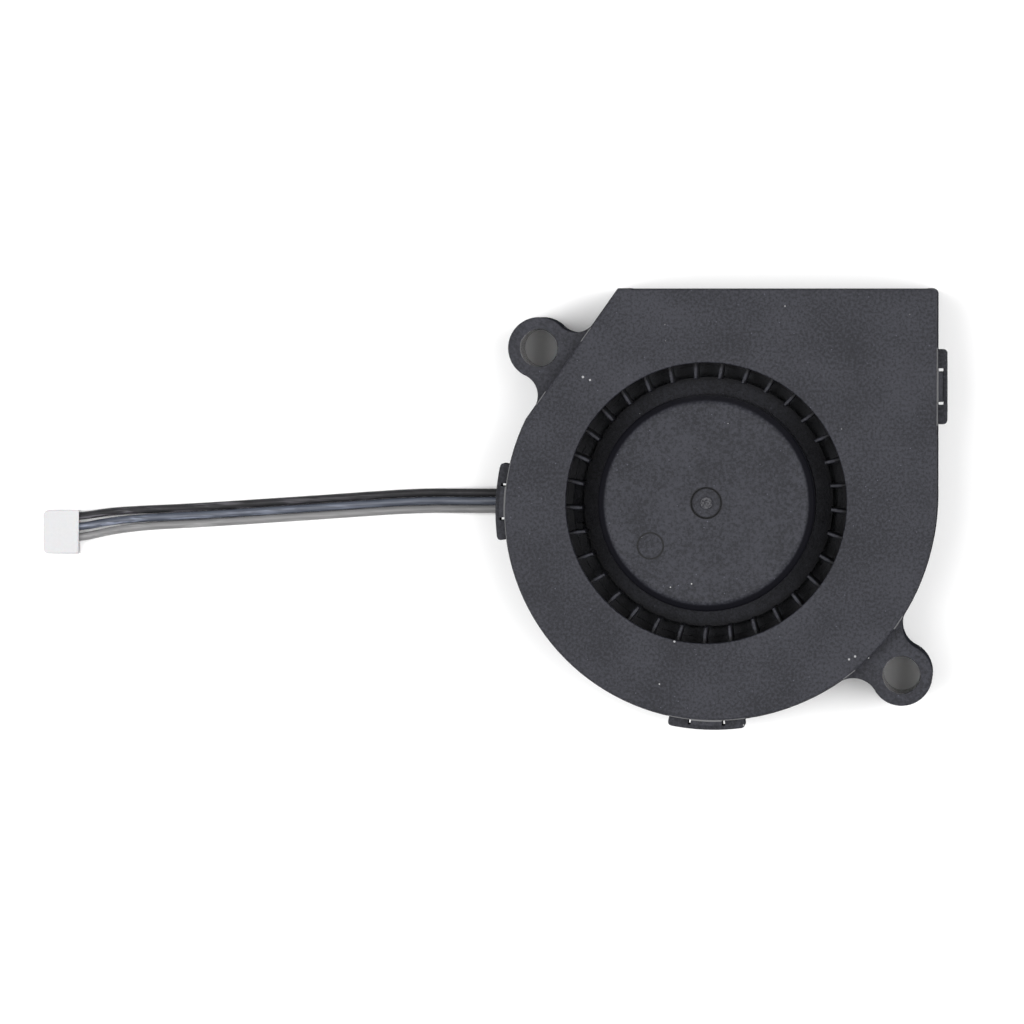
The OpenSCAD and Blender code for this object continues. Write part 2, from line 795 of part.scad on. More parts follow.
// In the channel, then up through the floor in a soft bend to the board's underside
module inner_leads() {
    start = route[0];
    rise_x = channel_in - wire_d / 2;
    rise_z = lead_under_z - start.z;
    color([0.45, 0.45, 0.5]) for (y = lead_ys) tube_along(concat(
        [[start.x, y, start.z], [(start.x + rise_x) / 2, y, start.z]],
        [for (i = [0 : lead_steps]) let (t = i / lead_steps)
            [rise_x + lead_run * t, y, start.z + rise_z * t * t * (3 - 2 * t)]],
        [[lead_end_x, y, lead_under_z]]
    ), wire_d / 2);
}

module wire_black() {
    color([0.1, 0.1, 0.11]) free_wire(1);
}

module wire_blue_grey() {
    color([0.45, 0.46, 0.5]) free_wire(0);
}

module wire_grey() {
    color([0.6, 0.6, 0.6]) free_wire(-1);
}

module rear_label() {
    color([0.8, 0.8, 0.8]) translate([0, 0, label_recess - label_t])
        cylinder(r = label_r, h = label_t);
}

// One blade seen from above, bent a little to one side
blade_steps = 6;
blade_bend = 0.6;
blade_inset = 0.2;

module blade_2d() {
    function mid(t) = let (
        r = blade_in_r + (impeller_r - blade_inset - blade_in_r) * t,
        a = blade_bend * (1 - 4 * t * (1 - t))
    ) r * [cos(a), sin(a)];
    upper = [for (i = [0 : blade_steps]) mid(i / blade_steps) + [0, blade_t / 2]];
    lower = [for (i = [blade_steps : -1 : 0]) mid(i / blade_steps) - [0, blade_t / 2]];
    polygon(concat(upper, lower));
}

blade_phase = 7.25;
disc_lap = 0.14;
stub_sink = 0.18;
mark_place = [-6.57, -5.04];
mark_line = 0.14;
mark_depth = 0.06;

module impeller() {
    color(moulded_black) difference() {
        union() {
            translate([0, 0, disc_z]) cylinder(r = hub_r, h = hub_top - hub_edge - disc_z);
            translate([0, 0, hub_top - hub_edge])
                cylinder(r1 = hub_r, r2 = hub_r - hub_edge, h = hub_edge);
            translate([0, 0, disc_z]) cylinder(r = blade_in_r + disc_lap, h = disc_t);
            translate([0, 0, disc_z]) linear_extrude(blade_top - disc_z)
                for (i = [0 : blade_n - 1]) rotate(blade_phase + i * 360 / blade_n) blade_2d();
            translate([0, 0, disc_z]) ring(low_ring_r, impeller_r, low_ring_t);
            translate([0, 0, blade_top - top_ring_h])
                ring(impeller_r - top_ring_t, impeller_r, top_ring_h);
        }
        translate([0, 0, disc_z - past]) difference() {
            cylinder(r = yoke_r, h = hub_under - disc_z + past);
            translate([0, 0, hub_under - boss_h - disc_z + past])
                ring(bush_r, boss_r, boss_h + past);
        }
        translate([0, 0, hub_top - gate_depth]) cylinder(r = gate_r, h = past);
        translate([mark_place.x, mark_place.y, hub_top - mark_depth])
            ring(mark_r - mark_line, mark_r, past);
    }
    color(moulded_grey) translate([0, 0, hub_top - gate_depth - eps])
        cylinder(r = stub_r, h = gate_depth - stub_sink + eps);
}

module rotor_yoke() {
    color(steel) translate([0, 0, yoke_z]) {
        ring(yoke_in_r, yoke_r, hub_under - yoke_z);
        translate([0, 0, hub_under - yoke_z - yoke_lip_t]) ring(yoke_lip_r, yoke_r, yoke_lip_t);
    }
}

module magnet_ring() {
    color([0.22, 0.2, 0.2]) translate([0, 0, magnet_z]) ring(magnet_in_r, yoke_in_r, magnet_h);
}

module hub_bush() {
    color([0.78, 0.62, 0.3]) translate([0, 0, bush_z]) ring(shaft_r, bush_r, bush_h);
}

module shaft() {
    color(steel) difference() {
        union() {
            translate([0, 0, shaft_z + shaft_tip])
                cylinder(r = shaft_r, h = hub_under - shaft_z - shaft_tip);
            translate([0, 0, shaft_z])
                cylinder(r1 = shaft_r - shaft_tip, r2 = shaft_r, h = shaft_tip);
        }
        translate([0, 0, ring_z]) ring(shaft_r - groove_depth, shaft_r + past, ring_t);
    }
}

module retaining_ring() {
    color(tin) translate([0, 0, ring_z]) difference() {
        ring(shaft_r - groove_depth, ring_r, ring_t);
        translate([0, -ring_slot / 2, -past]) cube([ring_r + past, ring_slot, ring_t + 2 * past]);
    }
}

module plug_housing() {
    color([0.94, 0.94, 0.93]) difference() {
        linear_extrude(plug_h) polygon(concat(
            [[plug_x, plug_first_y + plug_wall]],
            arc_points(
                [plug_x - plug_l + plug_corner, plug_first_y + plug_wall - plug_corner],
                plug_corner, 90, 180, corner_steps
            ),
            arc_points(
                [plug_x - plug_l + plug_corner, plug_first_y + plug_wall - plug_w + plug_corner],
                plug_corner, 180, 270, corner_steps
            ),
            [[plug_x, plug_first_y + plug_wall - plug_w]]
        ));
        for (i = [0 : plug_places - 1])
            translate([0, plug_first_y - i * contact_pitch, plug_mid_z]) {
                translate([plug_x - cavity_depth, -cavity_w / 2, -cavity_h / 2])
                    cube([cavity_depth + past, cavity_w, cavity_h]);
                translate([plug_x - plug_l - past, -mouth_w / 2, -mouth_h / 2])
                    cube([plug_l + past, mouth_w, mouth_h]);
            }
    }
}

module crimp_contacts() {
    color(tin) for (i = [0 : lead_n - 1])
        translate([plug_x - plug_l + contact_back, plug_first_y - i * contact_pitch, plug_mid_z])
            translate([0, -contact_w / 2, -contact_h / 2])
                cube([wire_end_x - plug_x + plug_l - contact_back, contact_w, contact_h]);
}

base_housing();
cover_plate();
bearing_cap();
thrust_pad();
sleeve_bearing();
oil_ring();
stator_core();
insulator_lower();
insulator_upper();
coil(0);  // coil_1
coil(1);  // coil_2
coil(2);  // coil_3
coil(3);  // coil_4
terminal_pins();
circuit_board();
hall_driver();
chip_parts();
solder_joints();
inner_leads();
rear_label();
impeller();
rotor_yoke();
magnet_ring();
hub_bush();
shaft();
retaining_ring();
wire_black();
wire_blue_grey();
wire_grey();
plug_housing();
crimp_contacts();
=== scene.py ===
"""A 50 mm radial blower fan, lying on its back and seen from its inlet side."""
import json
import math

import bmesh
import bpy
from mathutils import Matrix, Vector


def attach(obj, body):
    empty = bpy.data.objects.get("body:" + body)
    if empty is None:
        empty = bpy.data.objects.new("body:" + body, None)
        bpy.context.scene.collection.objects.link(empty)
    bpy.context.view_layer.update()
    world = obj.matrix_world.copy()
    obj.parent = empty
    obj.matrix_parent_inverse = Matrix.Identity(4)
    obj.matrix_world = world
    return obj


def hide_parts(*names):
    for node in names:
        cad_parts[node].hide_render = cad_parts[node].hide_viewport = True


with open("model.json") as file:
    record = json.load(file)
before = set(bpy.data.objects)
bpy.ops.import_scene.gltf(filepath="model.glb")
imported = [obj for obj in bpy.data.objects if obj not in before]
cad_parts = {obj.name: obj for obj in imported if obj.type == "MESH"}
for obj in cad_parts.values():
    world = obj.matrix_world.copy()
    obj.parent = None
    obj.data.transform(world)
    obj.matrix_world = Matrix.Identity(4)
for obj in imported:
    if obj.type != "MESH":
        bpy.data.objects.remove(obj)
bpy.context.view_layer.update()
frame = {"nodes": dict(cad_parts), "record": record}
nodes = frame["nodes"]

MM = 0.001

# Heights above the back face, in millimetres
BODY_H = 15
HUB_TOP, STUB_TOP, HUB_SLOPE_FOOT = 14.5, 14.32, 13.6
FINGER_ROOT, COVER_UNDER = 14.2, 13.5
BLADE_TOP, EAR_TOP = 13, 12.8
LATCH_TOP, LATCH_FOOT = 12.6, 7.1
PLUG_H = 2.3

# The photograph: 1024 px square, seen through a long lens from almost straight above
IMAGE_PX = 1024
SENSOR = 36.0
CAMERA_AT = Vector((0.0329, 0.0216, 1.2))
CAMERA_AIM = Vector((-0.02286, -0.00106, BODY_H * MM))
COVER_MM_PER_PX = 0.11778

# The free leads, as X, middle Y, Z and half the spread, in millimetres
ROUTE = [
    (-23.8, 0, 1.05, 0.98), (-25.5, 0, 1.02, 0.98), (-27.5, 0, 0.86, 0.98),
    (-30, 0, 0.64, 0.98), (-33, 0, 0.5, 0.98), (-36.5, -0.12, 0.5, 0.98),
    (-40, -0.34, 0.5, 0.98), (-44, -0.62, 0.5, 0.98), (-48, -0.9, 0.5, 0.98),
    (-52, -1.16, 0.5, 0.98), (-56, -1.43, 0.5, 0.98), (-60, -1.68, 0.5, 0.98),
    (-63.5, -1.88, 0.5, 0.98), (-66.5, -2.03, 0.54, 1), (-69, -2.22, 0.68, 1.05),
    (-71, -2.43, 0.86, 1.12), (-72.8, -2.71, 1.03, 1.19), (-74.2, -2.97, 1.12, 1.24),
    (-75.4, -3.1, 1.15, 1.25), (-76.4, -3.1, 1.15, 1.25),
]
WIRE_D = 0.95 * MM
WIRES = {"wire_black": 1, "wire_blue_grey": 0, "wire_grey": -1}


# Camera

def add_camera():
    data = bpy.data.cameras.new("camera")
    camera = bpy.data.objects.new("camera", data)
    bpy.context.collection.objects.link(camera)
    look = CAMERA_AIM - CAMERA_AT
    back = -look.normalized()
    right = Vector((0, 1, 0)).cross(back).normalized()
    up = back.cross(right)
    for row in range(3):
        for col, axis in enumerate((right, up, back)):
            camera.matrix_world[row][col] = axis[row]
        camera.matrix_world[row][3] = CAMERA_AT[row]
    data.sensor_width = SENSOR
    data.lens = SENSOR * look.length / (COVER_MM_PER_PX * MM * IMAGE_PX)
    data.clip_end = 10
    bpy.context.scene.camera = camera


# Cords

def frame_slot(node):
    for part in frame["record"]["subparts"]:
        if part["node"] == node:
            return part["material_slot"]


def stand_in(name, data, node, body):
    """A new object that shows a node in place of its CAD mesh."""
    obj = bpy.data.objects.new(name, data)
    bpy.context.collection.objects.link(obj)
    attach(obj, body)
    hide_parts(node)
    return obj


def add_cord(node, side):
    data = bpy.data.curves.new(node + "_curve", "CURVE")
    data.dimensions = "3D"
    data.resolution_u = 4
    data.bevel_depth = 1
    data.bevel_resolution = 5
    data.use_fill_caps = True
    spline = data.splines.new("BEZIER")
    spline.bezier_points.add(len(ROUTE) - 1)
    for point, (x, y, z, spread) in zip(spline.bezier_points, ROUTE):
        point.co = Vector((x, y + side * spread, z)) * MM
        point.handle_left_type = point.handle_right_type = "AUTO"
        point.radius = WIRE_D / 2
    return stand_in(node + "_lead", data, node, "housing")


add_camera()
cords = {node: add_cord(node, side) for node, side in WIRES.items()}


# The scroll, its ears and its latches, in millimetres

EARS = Vector((-19.79, 18.247, 0)), Vector((22.981, -20.272, 0))
EAR_HOLE_R = 2.2
ARC_A, ARC_A_R = Vector((0.85, -1, 0)), 24.7
ARC_B, ARC_B_R = Vector((0.85, 0.7, 0)), 26.4
RIGHT_X = 27.25
SLANT, SLANT_OUT, SLANT_ENDS = math.radians(144.8), 23.12, math.radians(153.9)
LATCHES = Vector((-24.375, 0.1, 0)), Vector((0, -26.236, 0)), Vector((27.8, 13.7, 0))

# Small marks on the mouldings, and spots of painted highlight on the base's rim, as X, Y and
# radius in millimetres
RIM_HIGHLIGHT_SPOTS = [
    (-14.3, 19.9, 1.0), (-19.6, 12.4, 0.95), (22.8, -14.2, 0.95), (17.1, -20.6, 1.0),
    (-23.8, 0.1, 4.6), (0, -25.6, 4.6), (27.2, 13.7, 4.6),
]
NICKS = [
    (-14.5, 14.84, 0.14), (-13.67, 14.49, 0.12), (16.83, -18.37, 0.12), (17.54, -18.02, 0.13),
    (-3.72, -16.3, 0.12),
]
PIN_MARK, PIN_MARK_R = (-6.57, -5.04), 1.53
RECESS_R = 1.78

# How far the torn stub and the painted light and shade on the rotor and under it reach from the
# axis, in millimetres
TORN_STUB = 0.85, 0.55
HUB_SLOPE = 11.85, 12.25
DISC_RIM = 14, 14.8
BLADES_FROM = 14.85
BLADE_ENDS = (15.15, 14.7), (15.8, 16.2)
LOW_RING = 15.3, 15.5
UNDER_ROTOR = 19.6

# Tones of what is dusty, nicked or torn, and of painted highlights, painted light and painted
# shade
RIM_HIGHLIGHT_TONE = (0.16, 0.16, 0.165)
NICK_TONE = (0.3, 0.3, 0.31)
DUST_TONE = (0.42, 0.42, 0.42)
TORN_TONE = (0.062, 0.062, 0.068)
WALL_TONES = (0.014, 0.0144, 0.0185), (0.021, 0.0217, 0.027)
BORE_LIT_AND_SHADED_TONES = (0.27, 0.262, 0.27), (0.02, 0.019, 0.02)
UNDER_ROTOR_LIGHT_TONE = (0.08, 0.082, 0.092)
LOW_RING_LIGHT_TONE = (0.12, 0.122, 0.136)
FLANK_LIGHT_TONE = (0.03, 0.031, 0.036)
SLOPE_SHADE_TONE = (0.006, 0.006, 0.0085)
BLADE_END_SHADE_TONE = (0.004, 0.004, 0.006)
DEEP_SHADE_TONE = (0.002, 0.002, 0.003)


# Materials

class Shader:
    """A material's node tree, with short calls for the nodes that the finishes use."""

    def __init__(self, name, rough, metal=0.0, coat=0.0, specular=0.5):
        self.material = bpy.data.materials.new(name)
        self.material.use_nodes = True
        self.tree = self.material.node_tree
        self.tree.nodes.clear()
        self.surface = self.node("ShaderNodeBsdfPrincipled")
        output = self.node("ShaderNodeOutputMaterial")
        self.link(self.surface.outputs["BSDF"], output.inputs["Surface"])
        self.surface.inputs["Roughness"].default_value = rough
        self.surface.inputs["Metallic"].default_value = metal
        self.surface.inputs["Coat Weight"].default_value = coat
        self.surface.inputs["Specular IOR Level"].default_value = specular
        self.place = self.node("ShaderNodeTexCoord").outputs["Object"]

    def node(self, kind, **inputs):
        made = self.tree.nodes.new(kind)
        for name, value in inputs.items():
            self.set(made.inputs[name.replace("_", " ")], value)
        return made

    def link(self, a, b):
        self.tree.links.new(a, b)

    def set(self, socket, value):
        if isinstance(value, bpy.types.NodeSocket):
            self.link(value, socket)
        else:
            socket.default_value = value

    def noise(self, per_mm, detail=2.0, rough=0.5, place=None):
        made = self.node("ShaderNodeTexNoise", Vector=place or self.place, Scale=per_mm / MM,
                         Detail=detail, Roughness=rough)
        return made.outputs["Fac"]

    def math(self, operation, a, b=0.0):
        made = self.node("ShaderNodeMath")
        made.operation = operation
        for socket, value in zip(made.inputs, (a, b)):
            self.set(socket, value)
        return made.outputs[0]

    def product(self, first, *more):
        """1 where all the masks are 1."""
        for mask in more:
            first = self.math("MULTIPLY", first, mask)
        return first

    def ramp(self, value, low, high, out_low=0.0, out_high=1.0):
        made = self.node("ShaderNodeMapRange")
        made.interpolation_type = "SMOOTHSTEP"
        for socket, x in zip(made.inputs, (value, low, high, out_low, out_high)):
            self.set(socket, x)
        return made.outputs[0]

    def fade(self, length, low_mm, high_mm, out_low=0.0, out_high=1.0):
        """A ramp over a length, between two bounds in millimetres."""
        return self.ramp(length, low_mm * MM, high_mm * MM, out_low, out_high)

    def mix(self, factor, a, b):
        made = self.node("ShaderNodeMix")
        made.data_type = "RGBA"
        sockets = [s for s in made.inputs if s.type == "RGBA"]
        self.set(made.inputs[0], factor)
        for socket, value in zip(sockets, (a, b)):
            self.set(socket, value if isinstance(value, bpy.types.NodeSocket) else (*value, 1.0))
        return [s for s in made.outputs if s.type == "RGBA"][0]

    def split(self, place=None):
        return self.node("ShaderNodeSeparateXYZ", Vector=place or self.place).outputs

    def colour(self, value):
        self.set(self.surface.inputs["Base Color"], value)

    def roughness(self, value):
        self.link(value, self.surface.inputs["Roughness"])

    def bump(self, height, depth_mm):
        made = self.node("ShaderNodeBump", Height=height, Strength=1.0, Distance=depth_mm * MM)
        self.link(made.outputs["Normal"], self.surface.inputs["Normal"])

    def specks(self, per_mm, radius_mm, share):
        """1 in sparse round spots, 0 elsewhere."""
        cells = self.node("ShaderNodeTexVoronoi", Vector=self.place, Scale=per_mm / MM)
        lot = self.split(cells.outputs["Color"])[0]
        near = self.ramp(cells.outputs["Distance"], radius_mm * per_mm, radius_mm * per_mm * 0.5)
        return self.math("MULTIPLY", near, self.math("LESS_THAN", lot, share))


def moulded_shader(name, dark, light, rough, grain_mm=0.03, specular=0.25):
    """Glass filled plastic with a fine spark-eroded grain and a few specks of dust."""
    s = Shader(name, rough, specular=specular)
    patches = s.noise(0.15, 3.0)
    grain = s.noise(3.0, 3.0, 0.7)
    tone = s.math("ADD", s.math("MULTIPLY", patches, 0.25), s.math("MULTIPLY", grain, 0.75))
    base = s.mix(s.ramp(tone, 0.38, 0.62), dark, light)
    flecks = s.mix(s.specks(0.9, 0.07, 1.0), base, tuple(3.5 * c for c in light))
    dust = s.specks(0.35, 0.1, 0.9)
    s.colour(s.mix(dust, flecks, DUST_TONE))
    s.roughness(s.ramp(grain, 0.2, 0.8, rough - 0.06, rough + 0.08))
    s.bump(s.math("ADD", grain, s.noise(11.0, 1.0)), grain_mm)
    return s


def moulded_plastic(name, dark, light, rough):
    return moulded_shader(name, dark, light, rough).material


def above(s, height):
    """1 higher than so many millimetres, 0 elsewhere."""
    return s.math("GREATER_THAN", s.split()[2], height * MM)


def below(s, height):
    """1 lower than so many millimetres, 0 elsewhere."""
    return s.math("LESS_THAN", s.split()[2], height * MM)


def off_axis(s, centre=(0, 0)):
    """Distance from an upright axis, in metres."""
    off = [s.math("SUBTRACT", axis, at * MM) for axis, at in zip(s.split(), centre[:2])]
    return s.math("SQRT", s.math("ADD", *(s.math("MULTIPLY", d, d) for d in off)))


def near_any(s, spots):
    """1 within reach of any of the upright axes, 0 elsewhere."""
    found = 0.0
    for x, y, reach in spots:
        near = s.math("LESS_THAN", off_axis(s, (x, y)), reach * MM)
        found = s.math("MAXIMUM", found, near)
    return found


def circle(s, centre, r, width, core):
    """A circle around an upright axis, full within its core and faded out at its width."""
    off_line = s.math("ABSOLUTE", s.math("SUBTRACT", off_axis(s, centre), r * MM))
    return s.fade(off_line, width, core)


def upwards(s):
    """How far the surface faces up: 1 on top, 0 on walls and -1 underneath."""
    return s.split(s.node("ShaderNodeNewGeometry").outputs["Normal"])[2]


def recoloured(s, mask, colour):
    """Lays a colour over what the shader has, where the mask is 1."""
    base = s.surface.inputs["Base Color"].links[0].from_socket
    s.colour(s.mix(mask, base, colour))


def housing_plastic(name, dark, light, rough):
    """Moulded plastic with walls darkened as painted shade, smooth bores painted lit and shaded,
    painted highlights on the rim, and painted light under the rotor.
    """
    s = moulded_shader(name, dark, light, rough)
    flat = s.math("ABSOLUTE", upwards(s))
    # Painted shade: walls that face sideways get no sheen and a tone of their own, so they
    # render dark
    s.set(s.surface.inputs["Specular IOR Level"], s.ramp(flat, 0.2, 0.7, 0.0, 0.25))
    wall = s.mix(s.ramp(s.noise(3.0, 3.0, 0.7), 0.35, 0.65), *WALL_TONES)
    recoloured(s, s.ramp(flat, 0.5, 0.2), wall)
    # Painted highlight: the rim is lightened beside the ears' ends and the latches, where its
    # edge catches light
    recoloured(s, s.product(above(s, COVER_UNDER - 0.1), near_any(s, RIM_HIGHLIGHT_SPOTS)), RIM_HIGHLIGHT_TONE)
    for ear in EARS:
        # Painted light and shade in each bore: pale on its left side and dark on its right
        bore = near_any(s, [(ear.x, ear.y, EAR_HOLE_R + 0.03)])
        lit_to_shaded = s.fade(s.split()[0], ear.x - 1.8, ear.x + 0.5)
        recoloured(s, bore, s.mix(lit_to_shaded, *BORE_LIT_AND_SHADED_TONES))
        for socket, smooth in (("Roughness", 0.1), ("Specular IOR Level", 0.6)):
            elsewhere = s.surface.inputs[socket].links[0].from_socket
            s.set(s.surface.inputs[socket], s.ramp(bore, 0.0, 1.0, elsewhere, smooth))
    # Painted light on the housing's floor under the rotor, lighter than the plastic's own tone
    within = s.math("LESS_THAN", off_axis(s), UNDER_ROTOR * MM)
    recoloured(s, s.product(above(s, 0.9), below(s, 2), within), UNDER_ROTOR_LIGHT_TONE)
    return s.material


def cover_plastic(name, dark, light, rough):
    """Moulded plastic with a few white nicks and a painted highlight along each snap finger."""
    s = moulded_shader(name, dark, light, rough)
    recoloured(s, near_any(s, NICKS), NICK_TONE)
    left, low, right = ([(latch.x, latch.y, 2.4)] for latch in LATCHES)
    within_arc = s.math("LESS_THAN", off_axis(s, ARC_A), (ARC_A_R + 0.06) * MM)
    within_flat = s.math("LESS_THAN", s.split()[0], (RIGHT_X + 0.06) * MM)
    on_arc = s.product(near_any(s, left + low), within_arc)
    on_flat = s.product(near_any(s, right), within_flat)
    # Painted highlight: a light line along each snap finger's edge, beside the latches
    shoulder_highlight = s.product(s.math("MAXIMUM", on_arc, on_flat), below(s, FINGER_ROOT + 0.1))
    recoloured(s, shoulder_highlight, RIM_HIGHLIGHT_TONE)
    return s.material


def hub_plastic(name, dark, light, rough):
    """Moulded plastic with a torn stub; painted shade on the slope, recess, pin mark, disc rim
    and blade ends; painted light on flanks and a low ring.
    """
    s = moulded_shader(name, dark, light, rough)
    out = off_axis(s)
    face = above(s, HUB_SLOPE_FOOT + 0.3)
    # Painted shade on the hub's rounded slope, which also loses most of its sheen
    slope = s.product(above(s, HUB_SLOPE_FOOT - 0.3), s.fade(out, *HUB_SLOPE))
    recoloured(s, slope, SLOPE_SHADE_TONE)
    s.set(s.surface.inputs["Specular IOR Level"], s.ramp(slope, 0.0, 1.0, 0.25, 0.08))
    # Painted shade around the edge of the stub's recess
    recoloured(s, s.product(face, circle(s, (0, 0), RECESS_R, 0.2, 0.08)), DEEP_SHADE_TONE)
    torn = s.mix(s.ramp(s.noise(4.0, 3.0, 0.7), 0.4, 0.6), dark, TORN_TONE)
    recoloured(s, s.product(face, s.fade(out, *TORN_STUB)), torn)
    # Painted shade: the ejector pin's shallow groove drawn as a dark circle
    recoloured(s, s.product(face, circle(s, PIN_MARK, PIN_MARK_R, 0.15, 0.06)), DEEP_SHADE_TONE)
    blade = s.product(below(s, BLADE_TOP + 0.3), s.math("GREATER_THAN", out, BLADES_FROM * MM))
    top = above(s, BLADE_TOP - 0.6)
    # Painted light on the blades' flanks below their tops
    recoloured(s, s.product(blade, s.math("SUBTRACT", 1.0, top)), FLANK_LIGHT_TONE)
    # Painted light on a low ring between the blades
    ring = s.product(below(s, 4.6), s.fade(out, *LOW_RING))
    recoloured(s, s.product(ring, s.math("GREATER_THAN", upwards(s), 0.5)), LOW_RING_LIGHT_TONE)
    # Painted shade on the ends of the blades' tops
    ends = s.math("ADD", *(s.fade(out, *end) for end in BLADE_ENDS))
    recoloured(s, s.product(blade, top, ends), BLADE_END_SHADE_TONE)
    # Painted shade on the disc's rim
    rim = s.product(below(s, 4.5), s.fade(out, *DISC_RIM, 0.0, 0.6))
    recoloured(s, rim, DEEP_SHADE_TONE)
    return s.material


def insulation(name, dark, light, rough, streak, specular=0.5):
    """Extruded insulation with lengthwise streaks and lighter ones, more of the lighter ones
    towards the plug.
    """
    s = Shader(name, rough, specular=specular)
    x, y, z = s.split()
    along = s.node("ShaderNodeCombineXYZ", X=s.math("MULTIPLY", x, 0.08), Y=y, Z=z).outputs[0]
    streaks = s.noise(3.0, 2.0, 0.5, along)
    base = s.mix(s.ramp(streaks, 0.35, 0.65), dark, light)
    # Lighter lengthwise streaks, more of them towards the plug
    light_streaks = s.ramp(s.noise(2.2, 3.0, 0.6, along), 0.5, 0.66)
    streaks_near_plug = s.product(light_streaks, s.fade(x, -30, -72, 0.15, 1.0))
    s.colour(s.mix(streaks_near_plug, base, streak))
    s.roughness(s.ramp(s.noise(2.0), 0.3, 0.7, rough - 0.05, rough + 0.07))
    s.bump(streaks, 0.01)
    return s.material


def plug_nylon(name):
    s = Shader(name, 0.4, specular=0.4)
    s.surface.inputs["Subsurface Weight"].default_value = 0.2
    s.surface.inputs["Subsurface Scale"].default_value = 0.4 * MM
    grain = s.noise(3.0, 2.0)
    s.colour(s.mix(grain, (0.465, 0.465, 0.475), (0.51, 0.51, 0.52)))
    s.bump(grain, 0.006)
    return s.material


def bright_metal(name, dark, light, rough, per_mm=6.0):
    s = Shader(name, rough, metal=1.0)
    grain = s.noise(per_mm, 3.0)
    s.colour(s.mix(grain, dark, light))
    s.roughness(s.ramp(grain, 0.3, 0.7, rough - 0.06, rough + 0.08))
    s.bump(grain, 0.003)
    return s.material


def stacked_sheet(name):
    """Laminations of 0.5 mm seen on edge."""
    s = Shader(name, 0.4, metal=1.0)
    turn = s.math("FRACT", s.math("MULTIPLY", s.split()[2], 2.0 / MM))
    line = s.ramp(s.math("ABSOLUTE", s.math("SUBTRACT", turn, 0.5)), 0.4, 0.5)
    s.colour(s.mix(line, (0.42, 0.42, 0.44), (0.12, 0.12, 0.13)))
    s.bump(line, -0.02)
    return s.material


def wound_copper(name):
    """Enamelled wire of 0.2 mm, laid side by side."""
    s = Shader(name, 0.3, metal=1.0, coat=0.4)
    turn = s.math("FRACT", s.math("MULTIPLY", off_axis(s), 5.0 / MM))
    from_middle = s.math("MULTIPLY", s.math("SUBTRACT", turn, 0.5), 1.98)
    swell = s.math("SQRT", s.math("SUBTRACT", 1.0, s.math("POWER", from_middle, 2.0)))
    # Painted shade and highlight: each turn is coloured dark where it meets the next and light
    # on its crown
    s.colour(s.mix(swell, (0.2, 0.06, 0.02), (0.72, 0.3, 0.12)))
    s.bump(swell, 0.05)
    return s.material


def board_laminate(name):
    s = Shader(name, 0.35, coat=0.3)
    tracks = s.node("ShaderNodeTexBrick", Vector=s.place, Scale=0.5 / MM)
    tracks.inputs["Mortar Size"].default_value = 0.06
    green = s.mix(s.noise(3.0, 2.0), (0.02, 0.14, 0.05), (0.035, 0.2, 0.08))
    s.colour(s.mix(tracks.outputs["Fac"], (0.015, 0.1, 0.04), green))
    s.bump(tracks.outputs["Fac"], 0.02)
    return s.material


def satin_film(name):
    s = Shader(name, 0.38, metal=0.35)
    s.colour(s.mix(s.noise(0.8, 4.0), (0.62, 0.63, 0.64), (0.74, 0.75, 0.76)))
    s.bump(s.noise(0.3, 2.0), 0.02)
    return s.material


# Each material slot's finish: how it is made, its dark and light tone, its roughness and more
GREY = (0.006, 0.0063, 0.01), (0.028, 0.0287, 0.037)
FINISHES = {
    "housing_plastic": (housing_plastic, *GREY, 0.55),
    "cover_plastic": (cover_plastic, *GREY, 0.55),
    "rotor_plastic": (hub_plastic, *GREY, 0.55),
    "cap_plastic": (moulded_plastic, (0.07, 0.07, 0.08), (0.1, 0.1, 0.11), 0.5),
    "wear_nylon": (moulded_plastic, (0.78, 0.76, 0.68), (0.86, 0.84, 0.78), 0.4),
    "insulator_nylon": (moulded_plastic, (0.8, 0.78, 0.7), (0.88, 0.86, 0.8), 0.45),
    "chip_epoxy": (moulded_plastic, (0.02, 0.02, 0.02), (0.035, 0.035, 0.035), 0.45),
    "chip_ceramic": (moulded_plastic, (0.45, 0.36, 0.22), (0.6, 0.5, 0.34), 0.4),
    "bonded_ferrite": (moulded_plastic, (0.035, 0.033, 0.03), (0.06, 0.056, 0.05), 0.6),
    "sintered_bronze": (bright_metal, (0.34, 0.22, 0.1), (0.52, 0.36, 0.2), 0.5, 12.0),
    "tinned_metal": (bright_metal, (0.62, 0.62, 0.64), (0.78, 0.78, 0.8), 0.28),
    "plated_steel": (bright_metal, (0.5, 0.51, 0.54), (0.64, 0.65, 0.67), 0.34, 2.0),
    "bush_brass": (bright_metal, (0.6, 0.42, 0.16), (0.76, 0.58, 0.28), 0.26),
    "shaft_steel": (bright_metal, (0.62, 0.62, 0.64), (0.74, 0.74, 0.76), 0.16),
    "lamination_steel": (stacked_sheet,),
    "enamelled_copper": (wound_copper,),
    "board_laminate": (board_laminate,),
    "label_film": (satin_film,),
    "lead_insulation": (insulation, (0.1, 0.1, 0.12), (0.14, 0.14, 0.16), 0.4, (0.2, 0.2, 0.22)),
    "black_insulation": (
        insulation, (0.01, 0.01, 0.011), (0.018, 0.0175, 0.02), 0.55, (0.09, 0.086, 0.097), 0.25,
    ),
    "blue_grey_insulation": (
        insulation, (0.045, 0.052, 0.07), (0.075, 0.085, 0.11), 0.45, (0.2, 0.22, 0.28),
    ),
    "grey_insulation": (
        insulation, (0.14, 0.14, 0.142), (0.175, 0.173, 0.175), 0.45, (0.24, 0.24, 0.24),
    ),
    "plug_nylon": (plug_nylon,),
}
materials = {slot: make(slot, *values) for slot, (make, *values) in FINISHES.items()}


def finish_object(obj, node):
    obj.data.materials.clear()
    obj.data.materials.append(materials[frame_slot(node)])


